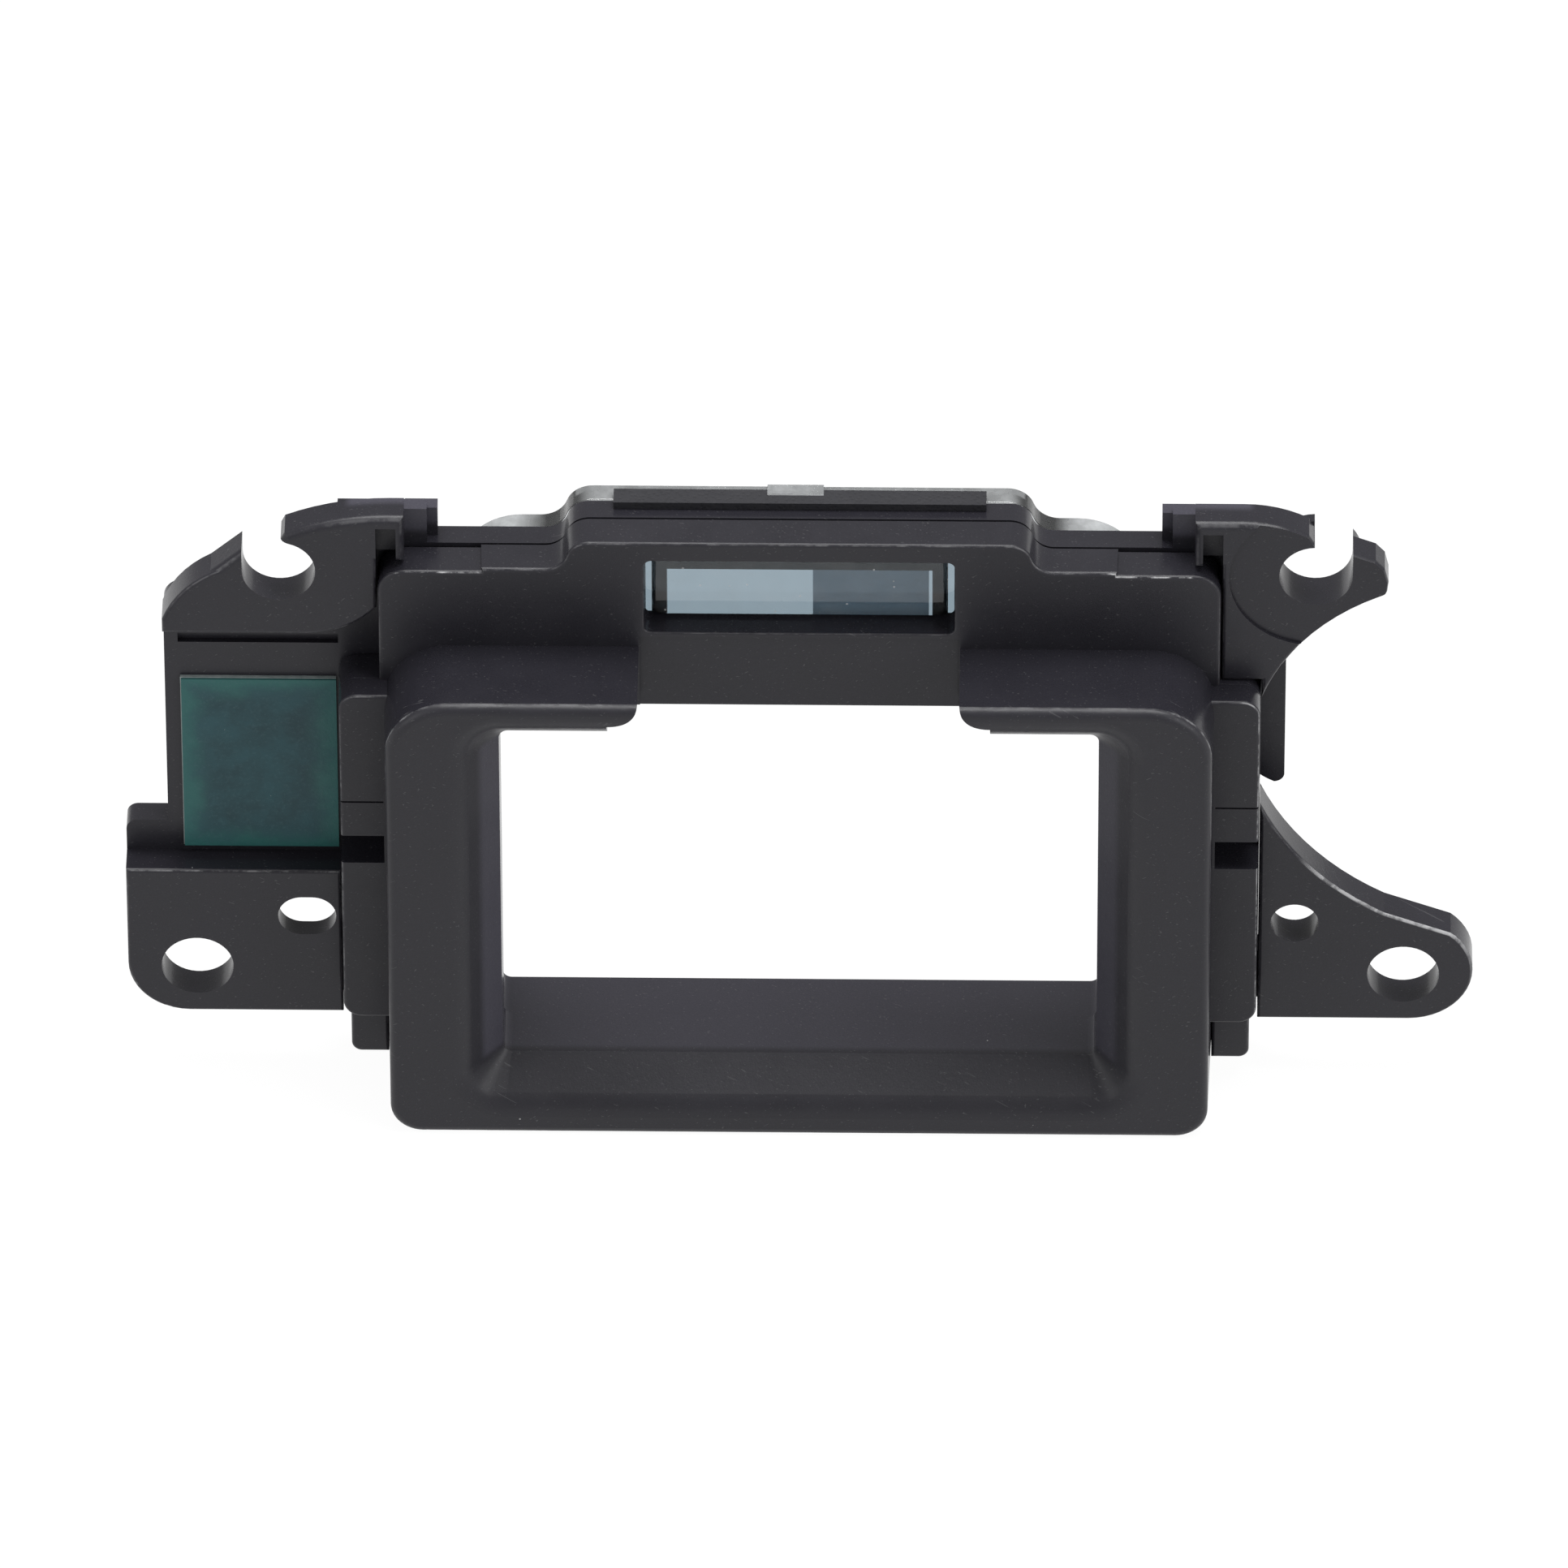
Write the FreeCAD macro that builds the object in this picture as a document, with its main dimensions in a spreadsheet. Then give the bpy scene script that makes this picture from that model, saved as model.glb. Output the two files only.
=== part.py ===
"""Eyepiece frame of a camera's electronic viewfinder, with its eye-sensor window.

Frame: millimetres, X to the right and Y to the back as seen by the user's eye, Z up.
The origin is under the middle of the bezel, at the bottom of the bezel and in the plane of
the front panel, so the bezel stands out towards -Y and the mounting ears lie behind Y = 0.

All outlines are drawn in planes of constant depth, so each is a list of (x, z) places.
"""
import FreeCAD, Part
import math
import os
import re
import Sketcher
from FreeCAD import Vector

# ---------------------------------------------------------------- driving dimensions, mm

DIMENSIONS = {
    # depths, front to back
    "bezel_front": -3.8,
    "rail_front": -1.0,
    "foot_front": -0.2,
    "panel_front": 0.0,
    "facet_front": 0.25,
    "ear_front": 0.3,
    "ear_back": 1.6,
    "hook_back": 2.05,
    "tab_back": 2.2,
    "collar_back": 2.46,
    "base_back": 2.6,
    "shell_back": 3.5,
    "seal_back": 3.8,
    # bezel ring around the eyepiece opening
    "bezel_reach": 15.75,
    "bezel_flare": 0.18,
    "draft": 2.0,
    "bezel_top": 21.35,
    "bezel_top_corner": 2.5,
    "bezel_low_corner": 1.25,
    "bezel_edge": 0.35,
    "collar_reach": 12.8,
    "collar_low": 1.4,
    "collar_high": 20.0,
    # eyepiece opening: mouth, throat and the relief at the back
    "mouth_reach": 12.93,
    "mouth_low": 1.43,
    "mouth_high": 20.4,
    "mouth_corner": 1.6,
    "mouth_round": 1.1,
    "throat_front": -2.05,
    "throat_reach": 11.45,
    "throat_low": 2.75,
    "throat_high": 18.85,
    "throat_corner": 0.35,
    "relief_front": 0.2,
    "relief_step": 0.1,
    "relief_high": 18.3,
    # cut in the bezel's top bar, below the window
    "gap_reach": 6.1,
    "gap_top": 21.84,
    "gap_flare": 1.2,
    # front panel and its raised crown
    "panel_reach": 16.05,
    "panel_corner": 1.0,
    "side_top": 24.95,
    "mid_reach": 12.08,
    "mid_top": 25.1,
    "rise_start": 9.7,
    "rise_end": 8.0,
    "crown_top": 26.4,
    "seam_width": 0.16,
    "seam_depth": 0.3,
    # side rails that guide an eyecup, with their latch notches
    "rail_inner": 15.3,
    "rail_reach": 17.6,
    "rail_bottom": 3.5,
    "rail_top": 19.6,
    "rail_corner": 0.7,
    "notch_low": 11.3,
    "notch_high": 12.65,
    "notch_floor": 0.6,
    "line_level": 14.3,
    "line_size": 0.08,
    # opening of the eye-sensor window, and the recess behind it that takes the window's flange
    "pane_reach": 5.92,
    "pane_low": 22.03,
    "pane_high": 25.54,
    "pane_corner": 0.3,
    "flange_reach": 6.3,
    "flange_low": 21.3,
    "flange_high": 25.62,
    "flange_front": 1.28,
    # eye-sensor window: a flange with a raised, bevelled middle
    "glass_play": 0.06,
    "glass_front": 1.0,
    "glass_step": 1.3,
    "glass_back": 1.5,
    "glass_reach": 5.62,
    "glass_low": 22.1,
    "glass_high": 25.46,
    "glass_bevel": 0.15,
    "tape_low": 24.66,
    # apertures behind the window and the block that shades the right-hand one
    "aperture_left": -5.07,
    "aperture_right": 5.06,
    "aperture_low": 20.96,
    "aperture_high": 24.06,
    "end_slot_inner": 5.65,
    "end_slot_outer": 5.9,
    "end_slot_low": 21.06,
    "end_slot_high": 24.6,
    "shade_left": 0.5,
    "shade_right": 4.92,
    # staked posts that hold the mouldings together
    "post_reach": 14.3,
    "post_low": 5.2,
    "post_high": 22.6,
    "post_radius": 0.5,
    "post_head": 0.75,
    "post_back": 2.85,
    # ear frame: base plate
    "skirt_reach": 15.3,
    "ear_bottom": 2.65,
    "play": 0.05,
    # ears, outlines common to both sides
    "ear_reach": 25.95,
    "ear_root": 17.66,
    "ear_high": 27.28,
    "bridge_reach": 15.05,
    "tab_reach": 14.2,
    "tab_high": 26.75,
    "fringe_reach": 13.8,
    "fringe_high": 26.45,
    "slit_inner": 15.35,
    "slit_outer": 16.12,
    "slit_high": 26.8,
    "slit_floor": 1.1,
    "hook_level": 24.7,
    "hook_radius": 1.4,
    "hook_mouth": 1.46,
    "ear_round": 0.3,
    "round_low": 23.0,
    "screw_reach": 23.27,
    "screw_level": 4.95,
    "screw_radius": 1.39,
    "guide_level": 7.5,
    "guide_radius": 0.93,
    "edge_round": 0.14,
    "lip_edge": 0.08,
    # left ear with the recess for the adhesive pad
    "left_hook": 19.83,
    "left_jaw": 15.6,
    "left_sweep": 9.7,
    "left_under": 18.86,
    "left_under_high": 22.9,
    "left_under_round": 3.4,
    "left_jaw_end": 19.58,
    "left_jaw_low": 26.42,
    "left_tip": 19.79,
    "left_tip_low": 25.98,
    "left_claw": 24.5,
    "left_claw_high": 25.6,
    "left_claw_reach": 22.43,
    "left_side_high": 22.2,
    "left_side_round": 4.2,
    "left_side": 24.33,
    "left_shelf": 21.6,
    "left_ledge": 9.74,
    "groove_floor": 1.84,
    "groove_low": 20.1,
    "groove_high": 20.55,
    "groove_end": 23.8,
    "left_step": 11.2,
    "left_corner": 2.35,
    "step_corner": 0.45,
    "lap": 0.8,
    "slot_reach": 19.0,
    "slot_length": 2.25,
    "slot_floor": 1.08,
    "slot_margin": 0.6,
    # right ear with its counterbored hook and the scooped side
    "right_hook": 19.66,
    "right_jaw": 16.9,
    "right_sweep": 4.75,
    "right_jaw_end": 19.38,
    "right_jaw_low": 26.62,
    "right_tip": 19.58,
    "right_tip_low": 26.23,
    "claw_high": 25.75,
    "claw_reach": 21.93,
    "claw_low": 25.4,
    "hook_boss": 1.75,
    "dish_radius": 3.3,
    "dish_floor": 0.43,
    "scoop_high": 18.7,
    "scoop_low": 13.45,
    "upper_sweep": 8.4,
    "lower_sweep": 11.2,
    "tip_reach": 22.43,
    "tip_low_reach": 22.38,
    "tip_low": 23.85,
    "tip_middle": 24.35,
    "tip_high_reach": 22.28,
    "tip_high": 25.0,
    "arm_reach": 22.5,
    "arm_top": 7.98,
    "end_centre": 23.5,
    "end_round": 2.45,
    "guide_reach": 19.05,
    "root_width": 0.85,
    "root_top": 4.97,
    "fin_inner": 16.8,
    "fin_reach": 18.6,
    "fin_low": 12.7,
    "fin_high": 21.5,
    "fin_lap": 0.3,
    "fin_corner": 0.4,
    "fin_rise": 1.5,
    "fin_sweep": 2.9,
    # feet beside the bezel
    "foot_inner": 15.9,
    "foot_outer": 17.35,
    "foot_bottom": 1.07,
    "foot_corner": 0.4,
    # clear rear frame and its light seal
    "shell_reach": 13.0,
    "shell_low_corner": 1.2,
    "shell_edge": 0.12,
    "shoulder_top": 24.97,
    "shoulder_round": 2.4,
    "brow_start": 9.9,
    "brow_end": 7.9,
    "brow_top": 26.42,
    "gate_left": -1.25,
    "gate_right": 0.9,
    "gate_front": 2.95,
    "gate_top": 26.52,
    "shell_open": 12.0,
    "shell_open_low": 1.4,
    "shell_open_high": 19.0,
    "sensor_reach": 6.1,
    "sensor_low": 20.1,
    "sensor_high": 25.1,
    "seal_reach": 12.7,
    "seal_bottom": 0.3,
    "seal_high": 19.6,
    "seal_open": 11.9,
    "seal_open_low": 1.15,
    # foam strip on the crown and adhesive pad on the left ear
    "strip_reach": 7.1,
    "strip_front": 2.1,
    "strip_back": 2.93,
    "strip_top": 26.73,
    "pad_left": -23.74,
    "pad_right": -17.76,
    "pad_low": 10.1,
    "pad_high": 18.46,
    "film_step": 0.04,
    "film_front": 1.38,
    "film_back": 1.46,
}

TINY = 1e-9
FLUSH = 1e-4
NEARBY = 0.02
SLANTED = 0.95
doc = FreeCAD.newDocument("EyepieceFrame")
sheet = doc.addObject("Spreadsheet::Sheet", "Dims")
for row, (alias, size) in enumerate(DIMENSIONS.items(), start=1):
    sheet.set("A%d" % row, alias)
    sheet.set("B%d" % row, str(size))
    sheet.setAlias("B%d" % row, alias)
doc.recompute()


# ---------------------------------------------------------------- drawing helpers

def bound(text):
    """An expression in plain aliases, written for the document."""
    return re.sub(r"[a-z][a-z_]+", lambda word: "Dims." + word.group(0), text)


def number(text):
    """The present value of an expression in plain aliases."""
    return float(sheet.evalExpression(bound(text)))


def negative(text):
    return "-(%s)" % text


def sketch_at(body, name, depth):
    """An empty sketch parallel to the XZ plane, at Y = depth."""
    plane = next(item for item in body.Origin.OriginFeatures if item.Role == "XZ_Plane")
    sketch = body.newObject("Sketcher::SketchObject", name)
    sketch.AttachmentSupport = (plane, "")
    sketch.MapMode = "FlatFace"
    sketch.setExpression("AttachmentOffset.Base.z", bound(negative(depth)))
    return sketch


def bind(sketch, constraint, text):
    """Add a dimension whose value follows an expression."""
    index = sketch.addConstraint(constraint)
    sketch.setExpression("Constraints[%d]" % index, bound(text))


def pin(sketch, curve, end, place):
    """Fix one point of a curve at a place, measured from the origin."""
    for kind, axis, text in (("DistanceX", -2, place[0]), ("DistanceY", -1, place[1])):
        size = number(text)
        if abs(size) < TINY:
            sketch.addConstraint(Sketcher.Constraint("PointOnObject", curve, end, axis))
        elif size > 0:
            bind(sketch, Sketcher.Constraint(kind, -1, 1, curve, end, size), text)
        else:
            bind(sketch, Sketcher.Constraint(kind, curve, end, -1, 1, -size), negative(text))


def arc_between(start, finish, radius):
    """The short arc from start to finish: left turn if the radius is positive, else right."""
    half = (finish - start) * 0.5
    rise = math.sqrt(max(radius * radius - half.Length * half.Length, 0.0))
    side = Vector(-half.y, half.x, 0).normalize() * math.copysign(rise, radius)
    centre = start + half + side
    first, last = (start, finish) if radius > 0 else (finish, start)
    circle = Part.Circle(centre, Vector(0, 0, 1), abs(radius))
    begin = math.atan2(first.y - centre.y, first.x - centre.x)
    end = math.atan2(last.y - centre.y, last.x - centre.x)
    return Part.ArcOfCircle(circle, begin, end)


def loop(sketch, corners):
    """Draw a closed loop anticlockwise through the corners.

    A corner (x, z) ends a straight run and (x, z, radius) ends an arc, which turns left, or
    right if its radius starts with a minus.
    """
    spots = [Vector(number(corner[0]), number(corner[1]), 0) for corner in corners]
    ends = []
    for index, corner in enumerate(corners):
        start, finish = spots[index - 1], spots[index]
        if len(corner) == 2:
            ends.append((sketch.addGeometry(Part.LineSegment(start, finish)), 1, 2))
            continue
        radius = number(corner[2])
        curve = sketch.addGeometry(arc_between(start, finish, radius))
        size = corner[2] if radius > 0 else negative(corner[2])
        bind(sketch, Sketcher.Constraint("Radius", curve, abs(radius)), size)
        ends.append((curve, 1, 2) if radius > 0 else (curve, 2, 1))
    for index, corner in enumerate(corners):
        curve, _, tail = ends[index]
        following, head, _ = ends[(index + 1) % len(ends)]
        sketch.addConstraint(Sketcher.Constraint("Coincident", curve, tail, following, head))
        pin(sketch, curve, tail, corner)


def disc(sketch, x, z, radius):
    """Draw a circle."""
    spot = Vector(number(x), number(z), 0)
    circle = Part.Circle(spot, Vector(0, 0, 1), number(radius))
    curve = sketch.addGeometry(circle)
    bind(sketch, Sketcher.Constraint("Radius", curve, number(radius)), radius)
    pin(sketch, curve, 3, (x, z))


def draw(sketch, shapes):
    """Draw each shape: a list is a loop and a tuple is a circle (x, z, radius)."""
    for shape in shapes:
        if isinstance(shape, tuple):
            disc(sketch, *shape)
        else:
            loop(sketch, shape)


def slab(body, name, front, back, *shapes):
    """Add the drawn shapes between two depths."""
    sketch = sketch_at(body, name + "_outline", front)
    draw(sketch, shapes)
    pad = body.newObject("PartDesign::Pad", name)
    pad.Profile = sketch
    pad.Reversed = True
    pad.setExpression("Length", bound("(%s) - (%s)" % (back, front)))
    return pad


def loft(body, kind, name, front, front_shape, back, back_shape):
    """Span two loops at two depths, straight from one to the other."""
    first = sketch_at(body, name + "_front", front)
    loop(first, front_shape)
    last = sketch_at(body, name + "_back", back)
    loop(last, back_shape)
    span = body.newObject("PartDesign::" + kind, name)
    span.Profile = first
    span.Sections = [last]
    span.Ruled = True


def cut(body, name, front, back, *shapes):
    """Cut the drawn shapes away between two depths, and make sure that something went."""
    doc.recompute()
    before = body.Shape.Volume
    sketch = sketch_at(body, name + "_outline", front)
    draw(sketch, shapes)
    pocket = body.newObject("PartDesign::Pocket", name)
    pocket.Profile = sketch
    pocket.setExpression("Length", bound("(%s) - (%s)" % (back, front)))
    doc.recompute()
    if body.Shape.Volume > before - TINY:
        raise RuntimeError("%s cut nothing from %s" % (name, body.Label))
    return pocket


def turns_back(shape, edge, depth):
    """Whether a front face at Y = depth ends at this edge with a sharp turn to the back."""
    box_ = edge.BoundBox
    if max(abs(box_.YMin - depth), abs(box_.YMax - depth)) > FLUSH:
        return False
    middle = edge.valueAt((edge.FirstParameter + edge.LastParameter) / 2)
    for face in shape.ancestorsOfType(edge, Part.Face):
        u, v = face.Surface.parameter(middle)
        outward = face.normalAt(u, v)
        if abs(outward.y) < SLANTED:
            beside = middle + (outward + Vector(0, 1, 0)) * NEARBY
            return not shape.isInside(beside, TINY, False)
    return False


def soften(body, name, size, depth, near=None):
    """Round the edges where front faces at Y = depth turn back, or those that near() picks."""
    doc.recompute()
    base = body.Tip
    level = number(depth)
    names = []
    for index, edge in enumerate(base.Shape.Edges, start=1):
        if turns_back(base.Shape, edge, level) and (near is None or near(edge.BoundBox)):
            names.append("Edge%d" % index)
    fillet = body.newObject("PartDesign::Fillet", name)
    fillet.Base = (base, names)
    fillet.setExpression("Radius", bound(size))
    doc.recompute()
    if not names or "Invalid" in fillet.State or not fillet.Shape.isValid():
        raise RuntimeError("%s could not be rounded at %d edges" % (name, len(names)))


def new_body(label):
    body = doc.addObject("PartDesign::Body", label)
    body.Label = label
    return body


# ---------------------------------------------------------------- outlines

def box(left, low, right, high):
    return [(left, low), (right, low), (right, high), (left, high)]


def round_box(left, low, right, high, low_round, high_round=None):
    """A box with rounded corners, which may differ between its bottom and its top."""
    high_round = high_round or low_round
    return [
        ("%s + %s" % (left, low_round), low, low_round),
        ("%s - %s" % (right, low_round), low),
        (right, "%s + %s" % (low, low_round), low_round),
        (right, "%s - %s" % (high, high_round)),
        ("%s - %s" % (right, high_round), high, high_round),
        ("%s + %s" % (left, high_round), high),
        (left, "%s - %s" % (high, high_round), high_round),
        (left, "%s + %s" % (low, low_round)),
    ]


def mid_box(reach, low, high, low_round, high_round=None):
    """A rounded box that is centred on X = 0."""
    return round_box(negative(reach), low, reach, high, low_round, high_round)


def both_sides(half):
    """The right half of a loop, bottom to top, joined to its mirror image."""
    mirror = [(negative(corner[0]), corner[1]) for corner in half]
    back = [mirror[-1]]
    for index in range(len(half) - 1, 0, -1):
        back.append(mirror[index - 1] + half[index][2:])
    return half + back


def flip(corners):
    """The mirror image of a whole loop, still anticlockwise."""
    mirror = [(negative(corner[0]), corner[1]) for corner in corners]
    count = len(corners)
    return [mirror[index - 1] + corners[index % count][2:] for index in range(count, 0, -1)]


def wave(start, low, end, high):
    """A step up in two equal arcs, level at both ends, from (start, low) to (end, high)."""
    run = "(%s - %s)" % (start, end)
    rise = "((%s) - (%s))" % (high, low)
    radius = "(%s^2 + %s^2) / (4 * %s)" % (run, rise, rise)
    middle = ("(%s + %s) / 2" % (start, end), "(%s + %s) / 2" % (low, high), negative(radius))
    return [(start, low), middle, (end, high, radius)]


CROWN = wave("rise_start", "mid_top", "rise_end", "crown_top")


# ---------------------------------------------------------------- front bezel

def panel_outline(drop):
    """The panel with its crown, its top edge lowered by drop."""
    side = "side_top - %s" % drop
    mid = "mid_top - %s" % drop
    return both_sides([
        ("rail_reach", "rail_bottom"),
        ("rail_reach", "rail_top - rail_corner"),
        ("rail_reach - rail_corner", "rail_top", "rail_corner"),
        ("panel_reach", "rail_top"),
        ("panel_reach", side + " - panel_corner"),
        ("panel_reach - panel_corner", side, "panel_corner"),
        ("mid_reach", side),
        ("mid_reach", mid),
    ] + wave("rise_start", mid, "rise_end", "crown_top - %s" % drop))


def rail_outline():
    return [
        ("rail_inner", "rail_bottom"),
        ("rail_reach - rail_corner", "rail_bottom"),
        ("rail_reach", "rail_bottom + rail_corner", "rail_corner"),
        ("rail_reach", "rail_top - rail_corner"),
        ("rail_reach - rail_corner", "rail_top", "rail_corner"),
        ("rail_inner", "rail_top"),
    ]


def gap_outline():
    """The cut in the bezel's top bar, flared at the bottom by the rounded ends of the bar."""
    flare = "mouth_high + gap_flare"
    return both_sides([
        ("gap_reach + gap_flare", "relief_high"),
        ("gap_reach + gap_flare", "mouth_high"),
        ("gap_reach", flare, negative("gap_flare")),
        ("gap_reach", "gap_top"),
    ])


def facet_outline():
    return box("-gap_reach", "relief_high - line_size", "gap_reach", "gap_top")


def posts(radius):
    return [(x, z, radius) for x in ("post_reach", "-post_reach") for z in ("post_low", "post_high")]


def bezel_outline(reach):
    return mid_box(reach, "0", "bezel_top", "bezel_low_corner", "bezel_top_corner")


def make_front_bezel():
    body = new_body("front_bezel")
    panel = slab(body, "panel", "panel_front", "ear_back - seam_width", panel_outline("0"))
    panel.setExpression("TaperAngle", bound("draft"))
    soften(body, "panel_edge", "edge_round", "panel_front")
    slab(body, "panel_root", "ear_back - seam_width", "ear_back", panel_outline("seam_depth"))
    slab(body, "rails", "rail_front", "panel_front + edge_round", rail_outline(), flip(rail_outline()))
    soften(body, "rail_edge", "edge_round", "rail_front")
    loft(body, "AdditiveLoft", "bezel_ring", "bezel_front", bezel_outline("bezel_reach"),
         "ear_back", bezel_outline("bezel_reach + bezel_flare"))
    soften(body, "bezel_rim", "bezel_edge", "bezel_front")
    slab(body, "collar", "ear_back", "collar_back",
         mid_box("collar_reach", "collar_low", "collar_high", "mouth_corner"))
    slab(body, "posts", "ear_back", "post_back", *posts("post_radius"))
    slab(body, "post_heads", "base_back", "post_back", *posts("post_head"))
    cut(body, "throat", "bezel_front", "relief_front",
        mid_box("throat_reach", "throat_low", "throat_high", "throat_corner"))
    cut(body, "relief", "relief_front", "collar_back",
        mid_box("throat_reach + relief_step", "throat_low - relief_step", "relief_high", "throat_corner"))
    loft(body, "SubtractiveLoft", "mouth", "bezel_front",
         mid_box("mouth_reach", "mouth_low", "mouth_high", "mouth_corner"), "throat_front",
         mid_box("throat_reach", "throat_low", "throat_high", "throat_corner"))
    soften(body, "mouth_edge", "mouth_round", "bezel_front")
    cut(body, "gap", "bezel_front", "panel_front", gap_outline())
    cut(body, "facet", "panel_front", "facet_front", facet_outline())
    cut(body, "pane_opening", "panel_front", "flange_front",
        mid_box("pane_reach", "pane_low", "pane_high", "pane_corner"))
    soften(body, "pane_edge", "lip_edge", "panel_front", beside_pane)
    cut(body, "flange_recess", "flange_front", "ear_back",
        box("-flange_reach", "flange_low", "flange_reach", "flange_high"))
    cut(body, "notches", "rail_front", "notch_floor",
        box("bezel_reach + bezel_flare", "notch_low", "rail_reach + lap", "notch_high"),
        box("-rail_reach - lap", "notch_low", "-bezel_reach - bezel_flare", "notch_high"))
    cut(body, "rail_lines", "rail_front", "rail_front + line_size",
        box("bezel_reach + bezel_flare", "line_level", "rail_reach + lap", "line_level + line_size"),
        box("-rail_reach - lap", "line_level", "-bezel_reach - bezel_flare", "line_level + line_size"))
    return body


def beside_pane(box_):
    """Whether an edge lies around the window's opening, above the thin lip below it."""
    inside = box_.XMax < number("pane_reach") + FLUSH and box_.XMin > -number("pane_reach") - FLUSH
    return inside and box_.ZMin > number("pane_low") - FLUSH and box_.ZMax < number("pane_high") + FLUSH


# ---------------------------------------------------------------- ear frame

def base_outline():
    return both_sides([
        ("skirt_reach - bezel_low_corner", "0"),
        ("skirt_reach", "bezel_low_corner", "bezel_low_corner"),
        ("skirt_reach", "ear_bottom"),
        ("rail_reach", "ear_bottom"),
        ("rail_reach", "mid_top"),
    ] + CROWN)


def foot_outline():
    return [
        ("foot_inner", "foot_bottom"),
        ("foot_outer - foot_corner", "foot_bottom"),
        ("foot_outer", "foot_bottom + foot_corner", "foot_corner"),
        ("foot_outer", "rail_bottom - play"),
        ("foot_inner", "rail_bottom - play"),
    ]


def left_upper_outline():
    """Upper left ear, seen from the front, before the hook's hole and mouth are cut."""
    return [
        ("-left_side", "left_shelf"),
        ("-left_under", "left_shelf"),
        ("-slit_outer", "left_under_high", "left_under_round"),
        ("-slit_outer", "mid_top + play"),
        ("-bridge_reach", "mid_top + play"),
        ("-bridge_reach", "ear_high"),
        ("-left_jaw", "ear_high"),
        ("-left_jaw_end", "left_jaw_low", "left_sweep"),
        ("-left_tip", "left_tip_low"),
        ("-(left_hook + hook_radius)", "left_claw_high"),
        ("-left_claw_reach", "left_claw"),
        ("-left_side", "left_side_high", "left_side_round"),
    ]


def right_upper_outline():
    """Upper right ear: its lower edge is a scoop that ends under the hook."""
    return [
        ("ear_root", "scoop_high"),
        ("tip_low_reach", "tip_low", "-upper_sweep"),
        ("tip_reach", "tip_middle"),
        ("tip_high_reach", "tip_high"),
        ("claw_reach", "claw_low"),
        ("right_hook + hook_radius", "claw_high"),
        ("right_tip", "right_tip_low"),
        ("right_jaw_end", "right_jaw_low"),
        ("right_jaw", "ear_high", "right_sweep"),
        ("bridge_reach", "ear_high"),
        ("bridge_reach", "mid_top + play"),
        ("slit_outer", "mid_top + play"),
        ("slit_outer", "rail_top + play"),
        ("ear_root", "rail_top + play"),
    ]


def left_lower_outline():
    return [
        ("-ear_reach + left_corner", "ear_bottom", "left_corner"),
        ("-ear_root", "ear_bottom"),
        ("-ear_root", "left_ledge"),
        ("-ear_reach", "left_ledge"),
        ("-ear_reach", "ear_bottom + left_corner"),
    ]


def recess_outline():
    """The plate that lies behind the left ear's two thick parts and carries the pad."""
    return [
        ("-ear_reach", "left_ledge - lap"),
        ("-rail_reach", "left_ledge - lap"),
        ("-rail_reach", "left_shelf + lap"),
        ("-left_side + lap", "left_shelf + lap"),
        ("-left_side", "left_shelf", "lap"),
        ("-left_side", "left_step"),
        ("-ear_reach + step_corner", "left_step"),
        ("-ear_reach", "left_step - step_corner", "step_corner"),
    ]


def right_lower_outline():
    """Lower right ear: a scooped arm with a round end about its screw hole."""
    lean = math.radians(50)
    across = "end_centre + end_round * %.6f" % math.cos(lean)
    up = "ear_bottom + end_round * %.6f" % (1 + math.sin(lean))
    return [
        ("ear_root", "ear_bottom"),
        ("end_centre", "ear_bottom"),
        ("end_centre + end_round", "ear_bottom + end_round", "end_round"),
        (across, up, "end_round"),
        ("arm_reach", "arm_top"),
        ("ear_root", "scoop_low", "-lower_sweep"),
    ]


def fin_outline():
    return [
        ("fin_reach - fin_corner", "fin_low", "fin_sweep"),
        ("fin_reach", "fin_low + fin_corner", "fin_corner"),
        ("fin_reach", "fin_high"),
        ("fin_inner", "fin_high"),
        ("fin_inner", "fin_low + fin_rise"),
    ]


def slot_outline(radius):
    """The elongated locating hole of the left ear, wider than it is high, or its relief."""
    half = "(slot_length / 2 - guide_radius)"
    left = "-slot_reach - %s" % half
    right = "-slot_reach + %s" % half
    low = "guide_level - (%s)" % radius
    high = "guide_level + (%s)" % radius
    return [
        (right, low),
        ("%s + %s" % (right, radius), "guide_level", radius),
        (right, high, radius),
        (left, high),
        ("%s - (%s)" % (left, radius), "guide_level", radius),
        (left, low, radius),
    ]


def hooks(radius):
    return [("right_hook", "hook_level", radius), ("-left_hook", "hook_level", radius)]


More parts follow.
